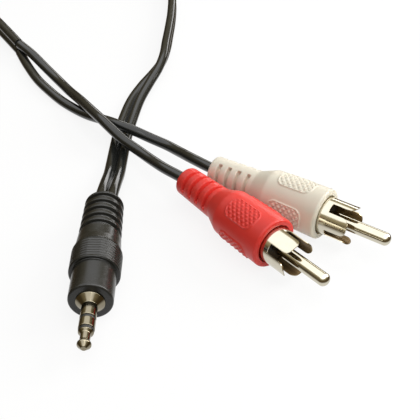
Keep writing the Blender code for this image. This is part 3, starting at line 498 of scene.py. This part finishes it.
def makeLead(name, route, plugName, node, ridgeStart, ridgeEnd):
    # a lead from the split into its plug; the torn ridge turns evenly between the two angles
    inside = [axisPoint(plugName, behind)
              for behind in np.linspace(phonoLength, leadEnd, cable["insideKnots"])]
    path = smoothRoute([*route, *inside], cable["fineStep"])
    ridge = np.linspace(ridgeStart, ridgeEnd, len(path))
    rings = sweep(path, leadSection(ridge), np.zeros(len(path))) * mm
    mesh = meshFromRings(name, rings, closeStart=True, closeEnd=True)
    lead = addPiece(name, mesh, cableVinyl, (node,), sharp=60)
    print(name, "length", round(pathLength(path), 4))


makeLead("redLead", redRoute, "red", "lead_red", -100, -150)
makeLead("whiteLead", whiteRoute, "white", "lead_white", -120, -60)


# Jack grip and strain relief
jackGrip = {
    "length": jackLength, "rim": 4.88, "rimEdge": 0.5,
    "collar": 5.7, "collarStart": 8.4, "collarEnd": 14.8, "collarRings": 8, "ringDepth": 0.17,
    "collarLean": 0.02, "collarEdge": 0.03,
    "flatTop": 5.52, "flatStart": 8.6, "flatEdge": 0.1, "flatEnd": 17.5, "flatFade": 1.0,
    "neck": 5.45, "neckLean": 0.25, "neckMiddle": (5.12, 17.2), "relief": 4.92,
    "reliefStart": 19.8, "reliefEnd": 4.55, "endEdge": 1.4,
    "grooves": 5, "grooveFirst": 21.2, "groovePitch": 2.53, "grooveWidth": 1.15,
    "grooveDepth": 0.85, "grooveEdge": 0.11,
    "hole": 3.2, "holeDepth": 1.3, "bore": 3.6, "boreEnd": 19.5, "mouth": 3.05,
    "mouthStart": 20.5,
    "skin": 0.8, "skinEdge": 0.05,                  # the lifts begin this far outside the mouth
    "around": 240, "boreRadius": 4.0, "boreStep": 1.0, "plainStep": 0.3,
    "collarRows": (8.2, 15.0), "collarStep": 0.09, "reliefRows": (20.0, 32.4), "reliefStep": 0.1,
}


def jackGripLift(angle, r, z):
    # what is added to the radius: collar rings as a squared cosine wave along the axis, flats
    # along the top and bottom where the radius is cut to flatTop / cos(angle), with the cosine
    # kept above a half so that the sides stay round, and a smooth step in and out at each groove
    grip = jackGrip
    behind = -z
    outside = softStep(r - grip["mouth"] - grip["skin"], grip["skinEdge"])
    onCollar = (softStep(behind - grip["collarStart"], grip["collarEdge"])
                * softStep(grip["collarEnd"] - behind, grip["collarEdge"]))
    pitch = (grip["collarEnd"] - grip["collarStart"]) / grip["collarRings"]
    wave = 0.5 + 0.5 * np.cos(2 * math.pi * (behind - grip["collarStart"]) / pitch)
    lift = -onCollar * grip["ringDepth"] * wave ** 2
    flat = grip["flatTop"] / np.maximum(np.abs(np.cos(angle)), 0.5)
    nearTop = (softStep(behind - grip["flatStart"], grip["flatEdge"])
               * softStep(grip["flatEnd"] - behind, grip["flatFade"]))
    lift = lift + nearTop * np.minimum(flat - r, 0.0)
    for index in range(grip["grooves"]):
        away = np.abs(behind - grip["grooveFirst"] - index * grip["groovePitch"])
        lift = lift - grip["grooveDepth"] * softStep(grip["grooveWidth"] / 2 - away,
                                                     grip["grooveEdge"])
    return lift * outside


def jackSpacing(r, z):
    # rows of the mesh: close on the collar's rings and the relief, far apart in the plain bore
    grip = jackGrip
    if r < grip["boreRadius"]:
        return grip["boreStep"]
    if grip["collarRows"][0] < -z < grip["collarRows"][1]:
        return grip["collarStep"]
    if grip["reliefRows"][0] < -z < grip["reliefRows"][1]:
        return grip["reliefStep"]
    return grip["plainStep"]


def makeJackGrip():
    # one closed outline turned round the axis: the outside from rim to relief, then the bore back
    grip = jackGrip
    neckMiddle, neckMiddleAt = grip["neckMiddle"]
    corners = [
        (grip["hole"], 0, 0), (grip["rim"], 0, grip["rimEdge"]),
        (grip["rim"], -grip["collarStart"] + grip["collarLean"], 0.15),
        (grip["collar"], -grip["collarStart"], 0.25),
        (grip["collar"], -grip["collarEnd"], 0.2),
        (grip["neck"], -grip["collarEnd"] - grip["neckLean"], 0),
        (neckMiddle, -neckMiddleAt, 2.0), (grip["relief"], -grip["reliefStart"], 1.0),
        (grip["reliefEnd"], -grip["length"], grip["endEdge"]),
        (grip["mouth"], -grip["length"], 0.2), (grip["mouth"], -grip["mouthStart"], 0),
        (grip["bore"], -grip["boreEnd"], 0), (grip["bore"], -grip["holeDepth"], 0),
        (grip["hole"], -grip["holeDepth"], 0), (grip["hole"], 0, 0),
    ]
    outline = roundedOutline(corners, jackSpacing)[:-1]
    rings = placed(plugs["jack"], turnedRings(outline, grip["around"], jackGripLift))
    mesh = meshFromRings("jackGrip", rings, joinEnds=True)
    return addPiece("jackGrip", mesh, blackVinyl, ("jack_overmould",), sharp=50)


print("moulding the jack grip")
makeJackGrip()


# Jack contacts: turned pieces one inside the next, measured forward from the grip's rim; a span
# is where a piece shows, a wall is its inner and outer radius behind that, a tail is its far end
jackContacts = {
    "radius": 1.75, "edge": 0.12, "bandRadius": 1.65, "bandEdge": 0.08,
    "point": 13.4, "pointRadius": 0.6, "nose": 1.5, "noseStart": 12.45, "noseEnd": 12.1,
    "waist": 1.1, "waistFront": 11.4, "waistBack": 9.45, "tipEnd": 8.85, "tipRod": 0.45,
    "tipTail": 9.1,
    "tipBand": {"span": (8.8, 8.15), "wall": (0.5, 0.7), "tail": 8.2},
    "ring": {"span": (8.1, 5.75), "wall": (0.75, 0.95), "tail": 7.3},
    "ringBand": {"span": (5.7, 5.05), "wall": (1.0, 1.2), "tail": 6.4},
    "sleeve": {"span": (5.0, 1.55), "wall": (1.25, 2.2), "tail": 5.5},
    "coneRadius": 3.15, "coneFront": 0.25, "coneBack": 1.0,
}


def collarAndTube(piece, radius, edge):
    # the outline of a collar that shows, over a thin tube that runs back into the grip
    front, back = piece["span"]
    inner, outer = piece["wall"]
    return [(inner, front, 0), (radius, front, edge), (radius, back, edge), (outer, back, 0),
            (outer, -piece["tail"], 0), (inner, -piece["tail"], 0)]


def makeJackContacts():
    # each piece is an outline turned round the jack's axis
    jack = plugs["jack"]
    size = jackContacts
    turnedPiece("jackTip", jack, [
        (0, size["point"], 0), (size["pointRadius"], size["point"], 0.25),
        (size["nose"], size["noseStart"], 0.3), (size["nose"], size["noseEnd"], 0.3),
        (size["waist"], size["waistFront"], 0.4), (size["waist"], size["waistBack"], 0.25),
        (size["radius"], size["tipEnd"], 0.08), (size["tipRod"], size["tipEnd"], 0),
        (size["tipRod"], -size["tipTail"], 0), (0, -size["tipTail"], 0)],
        darkerNickel, ("jack_tip",), spacing=0.12)
    turnedPiece("jackTipBand", jack,
                collarAndTube(size["tipBand"], size["bandRadius"], size["bandEdge"]),
                blackNylon, ("jack_tip_insulator",))
    turnedPiece("jackRing", jack, collarAndTube(size["ring"], size["radius"], size["edge"]),
                darkerNickel, ("jack_ring",))
    turnedPiece("jackRingBand", jack,
                collarAndTube(size["ringBand"], size["bandRadius"], size["bandEdge"]),
                blackNylon, ("jack_ring_insulator",))
    front, back = size["sleeve"]["span"]
    inner, outer = size["sleeve"]["wall"]
    tail = size["sleeve"]["tail"]
    turnedPiece("jackSleeve", jack, [
        (inner, front, 0), (size["radius"], front, size["edge"]), (size["radius"], back, 0.1),
        (size["coneRadius"], size["coneFront"], 0.1), (size["coneRadius"], -size["coneBack"], 0),
        (outer, -size["coneBack"], 0), (outer, -tail, 0), (inner, -tail, 0)],
        darkerNickel, ("jack_sleeve",))


print("turning the jack contacts")
makeJackContacts()


# Phono grips: one mould, in red and in white
phonoGrip = {
    "length": phonoLength, "rim": 6.15, "rimEdge": 0.7, "waist": 5.75, "shoulderStart": 14.7,
    "shoulderEnd": 18.7, "relief": 4.05, "reliefEnd": 3.5, "endEdge": 0.7,
    "grooves": 4, "grooveFirst": 20.4, "groovePitch": 2.7, "grooveWidth": 0.8,
    "grooveDepth": 1.25, "grooveEdge": 0.1, "spineWidth": 3.0, "spineEdge": 0.12,
    "padStart": 3.45, "padLength": 9.2, "padWidth": 5.6, "padCorner": 2.0, "padHeight": 0.3,
    "padEdge": 0.12, "padsEnd": 14.0, "padsFade": 0.2,
    "knurlPitch": 1.02, "knurlDepth": 0.3, "knurlInset": 0.3, "knurlEdge": 0.08,
    "mouth": 4.75, "mouthDepth": 1.0, "hole": 4.51, "holeDepth": 14.35, "funnel": 2.75,
    "funnelEnd": 18.5, "bore": 1.6,
    "skin": 3.0, "skinEdge": 0.05,                   # the lifts begin at this radius
    "around": 320, "boreStep": 1.0, "plainStep": 0.45,
    "boreRadii": (3.0, 5.0), "boreChange": 15.0,     # of the bore behind and before that place
    "padRows": (3.2, 13.0), "padStep": 0.118, "reliefRows": (19.6, 29.4), "reliefStep": 0.132,
}


def phonoGripLift(angle, r, z):
    # what is added to the radius: four pads, each a rectangle with round corners by its distance
    # function, a knurl on them of small pyramids on two crossing diagonals, and relief grooves
    # that stop at two spines
    grip = phonoGrip
    behind = -z
    outside = softStep(r - grip["skin"], grip["skinEdge"])
    quarter = np.angle(np.exp(4j * angle)) / 4    # from the nearest pad's middle
    across = quarter * r
    along = behind - grip["padStart"] - grip["padLength"] / 2
    cornerX = np.abs(across) - grip["padWidth"] / 2 + grip["padCorner"]
    cornerY = np.abs(along) - grip["padLength"] / 2 + grip["padCorner"]
    beyond = (np.hypot(cornerX.clip(0), cornerY.clip(0))
              + np.minimum(np.maximum(cornerX, cornerY), 0) - grip["padCorner"])
    pad = softStep(-beyond - grip["padEdge"], grip["padEdge"])
    first = (across + along) / grip["knurlPitch"] / math.sqrt(2)
    second = (across - along) / grip["knurlPitch"] / math.sqrt(2)
    pyramid = 1 - 2 * np.maximum(np.abs(first - np.round(first)),
                                 np.abs(second - np.round(second)))
    knurled = softStep(-beyond - grip["knurlInset"], grip["knurlEdge"])
    lift = pad * grip["padHeight"] - knurled * grip["knurlDepth"] * (1 - pyramid)
    lift = lift * softStep(grip["padsEnd"] - behind, grip["padsFade"])
    side = np.abs(r * np.sin(angle))
    offSpine = softStep(side - grip["spineWidth"] / 2, grip["spineEdge"])
    for index in range(grip["grooves"]):
        away = np.abs(behind - grip["grooveFirst"] - index * grip["groovePitch"])
        lift = lift - offSpine * grip["grooveDepth"] * softStep(grip["grooveWidth"] / 2 - away,
                                                                grip["grooveEdge"])
    return lift * outside


def phonoSpacing(r, z):
    # rows of the mesh: close on the pads and the relief, far apart in the plain bore
    grip = phonoGrip
    narrow, wide = grip["boreRadii"]
    if r < narrow or (r < wide and -z < grip["boreChange"]):
        return grip["boreStep"]
    if grip["padRows"][0] < -z < grip["padRows"][1]:
        return grip["padStep"]
    if grip["reliefRows"][0] < -z < grip["reliefRows"][1]:
        return grip["reliefStep"]
    return grip["plainStep"]


def makePhonoGrip(plugName, material):
    # one closed outline turned round the axis: the outside from rim to relief, then the bore back
    grip = phonoGrip
    corners = [
        (grip["mouth"], -grip["mouthDepth"], 0), (grip["mouth"], 0, 0.12),
        (grip["rim"], 0, grip["rimEdge"]), (grip["waist"], -grip["shoulderStart"], 2.5),
        (grip["relief"], -grip["shoulderEnd"], 1.5),
        (grip["reliefEnd"], -grip["length"], grip["endEdge"]),
        (grip["bore"], -grip["length"], 0.15), (grip["bore"], -grip["funnelEnd"], 0),
        (grip["funnel"], -grip["funnelEnd"], 0), (grip["hole"], -grip["holeDepth"], 0),
        (grip["hole"], -grip["mouthDepth"], 0), (grip["mouth"], -grip["mouthDepth"], 0),
    ]
    outline = roundedOutline(corners, phonoSpacing)[:-1]
    rings = placed(plugs[plugName], turnedRings(outline, grip["around"], phonoGripLift))
    name = plugName + "Grip"
    mesh = meshFromRings(name, rings, joinEnds=True)
    return addPiece(name, mesh, material,
                    (f"phono_{plugName}_overmould",), sharp=60)


print("moulding the phono grips")
makePhonoGrip("red", redVinyl)
makePhonoGrip("white", whiteVinyl)


# Phono shells: a thin cup whose mouth is slotted into four sprung petals
phonoShell = {
    "radius": 4.46, "wall": 0.3, "reach": 7.4, "tail": 3.0, "base": 0.45, "baseHole": 2.4,
    "flare": 0.1, "flareStart": 5.5, "flareLength": 1.9,
    "slotStart": 2.0, "slotWidth": 2.4, "slotCorner": 0.2, "petalCorner": 1.7,
    "turns": {"red": -11.0, "white": -19.8},         # degrees that each shell is turned
    "frontPoints": 12, "cornerPoints": 10, "sidePoints": 8, "footPoints": 5, "rowsAlong": 26,
    "sideLean": 0.004, "footLean": 0.03,             # keep the points in order round the edge
    "edgeRound": 0.03,
}


def shellEdge():
    # front edge of one petal and half of each slot beside it, as angle from the petal's middle
    # and height: level, a quarter circle, down the side, a quarter circle and level again, then
    # mirrored; lengths round the shell become angles by dividing by its radius
    shell = phonoShell
    radius = shell["radius"] - shell["wall"] / 2
    petalHalf = math.pi / 4 * radius - shell["slotWidth"] / 2
    outer, inner = shell["petalCorner"], shell["slotCorner"]
    quarter = np.linspace(0, math.pi / 2, shell["cornerPoints"])
    top = np.linspace(0, petalHalf - outer, shell["frontPoints"], endpoint=False)
    cornerX = petalHalf - outer + outer * np.sin(quarter)
    cornerZ = shell["reach"] - outer + outer * np.cos(quarter)
    sideZ = np.linspace(cornerZ[-1], shell["slotStart"] + inner, shell["sidePoints"])[1:-1]
    sideX = petalHalf + np.arange(1, len(sideZ) + 1) * shell["sideLean"]
    footX = petalHalf + shell["footLean"] + inner * (1 - np.cos(quarter))
    footZ = shell["slotStart"] + inner * (1 - np.sin(quarter))
    rest = np.linspace(footX[-1], math.pi / 4 * radius, shell["footPoints"])[1:]
    x = np.concatenate([top, cornerX, sideX, footX, rest])
    z = np.concatenate([np.full(len(top), shell["reach"]), cornerZ, sideZ, footZ,
                        np.full(len(rest), footZ[-1])])
    angle = np.concatenate([-x[:0:-1], x[:-1]]) / radius
    height = np.concatenate([z[:0:-1], z[:-1]])
    return angle, height


def makeShell(plugName):
    # the edge is repeated for the four petals; rows run back along the outside from the edge, in
    # under the floor to its hole, and out again along the inside, each row a fixed share of the
    # way from the foot to the edge's height
    shell = phonoShell
    oneAngle, oneHeight = shellEdge()
    start = math.radians(shell["turns"][plugName])
    angle = np.concatenate([oneAngle + start + math.pi / 2 * k for k in range(4)])[None, :]
    height = np.tile(oneHeight, 4)[None, :]
    share = np.linspace(0, 1, shell["rowsAlong"])[:, None]

    def wall(radius, foot):
        # the radius grows by the flare times the square of the way along it
        z = foot + share * (height - foot)
        lift = shell["flare"] * ((z - shell["flareStart"]) / shell["flareLength"]).clip(0, 1) ** 2
        return np.stack([(radius + lift) * np.cos(angle), (radius + lift) * np.sin(angle), z], -1)

    def ring(radius, z):
        # a level circle of this radius at this height
        around = angle.shape[1]
        return np.stack([radius * np.cos(angle), radius * np.sin(angle),
                         np.full((1, around), z)], -1)

    inner = shell["radius"] - shell["wall"]
    floor = shell["base"] - shell["tail"]
    outside = wall(shell["radius"], -shell["tail"])[::-1]
    inside = wall(inner, floor)
    middle = (outside[:1] + inside[-1:]) / 2 + np.array([0, 0, shell["edgeRound"]])
    rings = np.concatenate([middle, outside, ring(shell["baseHole"], -shell["tail"]),
                            ring(shell["baseHole"], floor), inside])
    mesh = meshFromRings(plugName + "Shell", placed(plugs[plugName], rings), joinEnds=True)
    # the rows past the outside are the shell's floor and inside, in the second material, which
    # carries painted shade
    innerRows = np.arange(len(rings)) > len(outside)
    mesh.polygons.foreach_set("material_index", np.repeat(innerRows, rings.shape[1]).astype(int))
    shellPiece = addPiece(plugName + "Shell", mesh, brightNickel,
                          (f"phono_{plugName}_shell",), sharp=35)
    mesh.materials.append(nickelPaintedShade)
    return shellPiece


# Phono pin with its soldering cup, and the disc that holds it; measured from the grip's rim
phonoPin = {
    "radius": 1.55, "reach": 16.6, "domeLength": 1.3, "back": 2.55, "cup": 0.9, "cupBack": 5.0,
    "domePoints": 13,
}
phonoDisc = {
    "front": 0.8, "bore": 1.6, "radius": 4.01, "back": 2.5, "hub": 2.35, "hubBack": 3.45,
    "cupBore": 0.95, "boreBack": 2.6,
}


def makePinAndDisc(plugName):
    # the pin's end is a quarter ellipse: radius times sine across, domeLength times cosine along
    plug = plugs[plugName]
    pin, disc = phonoPin, phonoDisc
    dome = [(pin["radius"] * math.sin(t),
             pin["reach"] - pin["domeLength"] * (1 - math.cos(t)), 0)
            for t in np.linspace(0, math.pi / 2, pin["domePoints"])]
    turnedPiece(plugName + "Pin", plug, [
        *dome, (pin["radius"], -pin["back"], 0), (pin["cup"], -pin["back"], 0),
        (pin["cup"], -pin["cupBack"], 0), (0, -pin["cupBack"], 0)],
        brightNickel, (f"phono_{plugName}_pin",), spacing=0.3)
    turnedPiece(plugName + "Disc", plug, [
        (disc["bore"], disc["front"], 0.15), (disc["radius"], disc["front"], 0.2),
        (disc["radius"], -disc["back"], 0), (disc["hub"], -disc["back"], 0),
        (disc["hub"], -disc["hubBack"], 0), (disc["cupBore"], -disc["hubBack"], 0),
        (disc["cupBore"], -disc["boreBack"], 0), (disc["bore"], -disc["boreBack"], 0)],
        blackNylon, (f"phono_{plugName}_insulator",))


print("forming the phono contacts")
for plugName in ("red", "white"):
    makeShell(plugName)
    makePinAndDisc(plugName)


# Hidden solids and the coil's tie keep their shape and get the material of the real piece
print("dressing the hidden pieces")
hiddenLooks = {
    creamNylon: ["jack_inner_mould", "phono_red_inner_mould", "phono_white_inner_mould",
                 "jack_left_wire", "jack_right_wire", "phono_red_wire", "phono_white_wire"],
    tinnedCopper: ["jack_ground_tab", "jack_ring_tab", "jack_screen", "phono_red_screen",
                   "phono_white_screen"],
    blackNylon: ["coil_tie"],
}
for material, nodes in hiddenLooks.items():
    for node in nodes:
        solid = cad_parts[node]
        solid.data.materials.clear()
        solid.data.materials.append(material)


# Floor, light and background
studio = {
    "floorSize": 6.0, "floorDrop": 0.02 * mm, "floor": "f4f4f2", "whiteShare": 0.87,
    "table": "64553b", "paperSeen": (0.28, 0.6),                 # sine of the ray's slope
    "wall": "4a412f", "wallTop": "8a8168", "ceiling": "ffffff",
    "wallFades": (0.1, 0.52), "ceilingStarts": (0.52, 0.62),    # heights on a unit sphere
    "roomLight": 0.42, "roomShine": 1.85,
    "lamps": {    # place, target and size in metres, then watts
        "overheadSoftbox": ((0.15, -0.12, 0.62), (0, 0.03, 0), (0.8, 0.6), 3.0),
        "sideSoftbox": ((0.5, 0.2, 0.3), (0, 0.0, 0), (0.3, 0.35), 2.9),
        "backSoftbox": ((0.22, 0.75, 0.13), (-0.02, 0.0, 0), (0.6, 0.15), 0.9),
    },
}


def makeFloor():
    # matt paper; seen directly or in a reflection it is mostly white, and it keeps the shadow;
    # reflections that meet it at a low angle see the dark table beyond the paper
    material, tree = newMaterial("paperFloor")
    ray = addNode(tree, "ShaderNodeLightPath")
    seen = addNode(tree, "ShaderNodeMath", {"operation": "MAXIMUM"},
                   {0: ray.outputs["Is Camera Ray"], 1: ray.outputs["Is Glossy Ray"]})
    seenAny = addNode(tree, "ShaderNodeMath", {"operation": "MAXIMUM"},
                      {0: seen.outputs[0], 1: ray.outputs["Is Transmission Ray"]})
    share = addNode(tree, "ShaderNodeMath", {"operation": "MULTIPLY"},
                    {0: seenAny.outputs[0], 1: studio["whiteShare"]})
    paper = addNode(tree, "ShaderNodeBsdfDiffuse", None, {"Color": linearColour(studio["floor"])})
    white = addNode(tree, "ShaderNodeEmission", None, {"Color": (1, 1, 1, 1), "Strength": 1.0})
    both = addNode(tree, "ShaderNodeMixShader", None,
                   {0: share.outputs[0], 1: paper.outputs[0], 2: white.outputs[0]})
    incoming = addNode(tree, "ShaderNodeNewGeometry").outputs["Incoming"]
    steepness = addNode(tree, "ShaderNodeSeparateXYZ", None, {0: incoming}).outputs["Z"]
    lowSine, highSine = studio["paperSeen"]
    far = addNode(tree, "ShaderNodeMapRange", {"interpolation_type": "SMOOTHSTEP"},
                  {"Value": steepness, "From Min": lowSine, "From Max": highSine,
                   "To Min": 1.0, "To Max": 0.0})
    farShine = addNode(tree, "ShaderNodeMath", {"operation": "MULTIPLY"},
                       {0: far.outputs["Result"], 1: ray.outputs["Is Glossy Ray"]})
    table = addNode(tree, "ShaderNodeEmission", None,
                    {"Color": linearColour(studio["table"]), "Strength": 1.0})
    whole = addNode(tree, "ShaderNodeMixShader", None,
                    {0: farShine.outputs[0], 1: both.outputs[0], 2: table.outputs[0]})
    addNode(tree, "ShaderNodeOutputMaterial", None, {"Surface": whole.outputs[0]})
    half = studio["floorSize"] / 2
    mesh = bpy.data.meshes.new("floor")
    mesh.from_pydata([(-half, -half, 0), (half, -half, 0), (half, half, 0), (-half, half, 0)],
                     [], [(0, 1, 2, 3)])
    mesh.materials.append(material)
    floor = bpy.data.objects.new("floor", mesh)
    floor.location.z = -studio["floorDrop"]
    bpy.context.scene.collection.objects.link(floor)


def makeRoom():
    # white where the camera sees it; for the light on the object a room whose walls grow lighter
    # with height, by a smooth step of the direction's Z, under a white ceiling
    world = bpy.data.worlds.new("studio")
    bpy.context.scene.world = world
    world.use_nodes = True
    tree = world.node_tree
    tree.nodes.clear()
    ray = addNode(tree, "ShaderNodeLightPath")
    white = addNode(tree, "ShaderNodeBackground", None, {"Color": (1, 1, 1, 1), "Strength": 1.0})
    towards = addNode(tree, "ShaderNodeTexCoord").outputs["Generated"]
    height = addNode(tree, "ShaderNodeSeparateXYZ", None, {0: towards}).outputs["Z"]
    wallFrom, wallTo = studio["wallFades"]
    upWall = addNode(tree, "ShaderNodeMapRange", {"interpolation_type": "SMOOTHSTEP"},
                     {"Value": height, "From Min": wallFrom, "From Max": wallTo})
    ceilingFrom, ceilingTo = studio["ceilingStarts"]
    onCeiling = addNode(tree, "ShaderNodeMapRange", {"interpolation_type": "SMOOTHSTEP"},
                        {"Value": height, "From Min": ceilingFrom, "From Max": ceilingTo})
    wall = addNode(tree, "ShaderNodeMix", {"data_type": "RGBA"},
                   {0: upWall.outputs["Result"], 6: linearColour(studio["wall"]),
                    7: linearColour(studio["wallTop"])})
    inside = addNode(tree, "ShaderNodeMix", {"data_type": "RGBA"},
                     {0: onCeiling.outputs["Result"], 6: wall.outputs[2],
                      7: linearColour(studio["ceiling"])})
    strength = addNode(tree, "ShaderNodeMapRange", None,
                       {"Value": ray.outputs["Is Glossy Ray"], "To Min": studio["roomLight"],
                        "To Max": studio["roomShine"]})
    room = addNode(tree, "ShaderNodeBackground", None,
                   {"Color": inside.outputs[2], "Strength": strength.outputs["Result"]})
    both = addNode(tree, "ShaderNodeMixShader", None,
                   {0: ray.outputs["Is Camera Ray"], 1: room.outputs[0], 2: white.outputs[0]})
    addNode(tree, "ShaderNodeOutputWorld", None, {"Surface": both.outputs[0]})


def addSoftbox(name, place, target, size, watts):
    # a soft rectangular lamp at place, facing target, both in metres
    lamp = bpy.data.lights.new(name, "AREA")
    lamp.shape = "RECTANGLE"
    lamp.size, lamp.size_y = size
    lamp.energy = watts
    thing = bpy.data.objects.new(name, lamp)
    thing.location = place
    away = np.array(place) - np.array(target)
    flat = math.hypot(away[0], away[1])
    heading = math.atan2(away[1], away[0]) + math.pi / 2
    thing.rotation_euler = (math.atan2(flat, away[2]), 0, heading)
    bpy.context.scene.collection.objects.link(thing)


print("setting the studio")
makeFloor()
makeRoom()
for lampName, (place, target, size, watts) in studio["lamps"].items():
    addSoftbox(lampName, place, target, size, watts)
bpy.context.scene.view_settings.view_transform = "Standard"

print("scene complete")
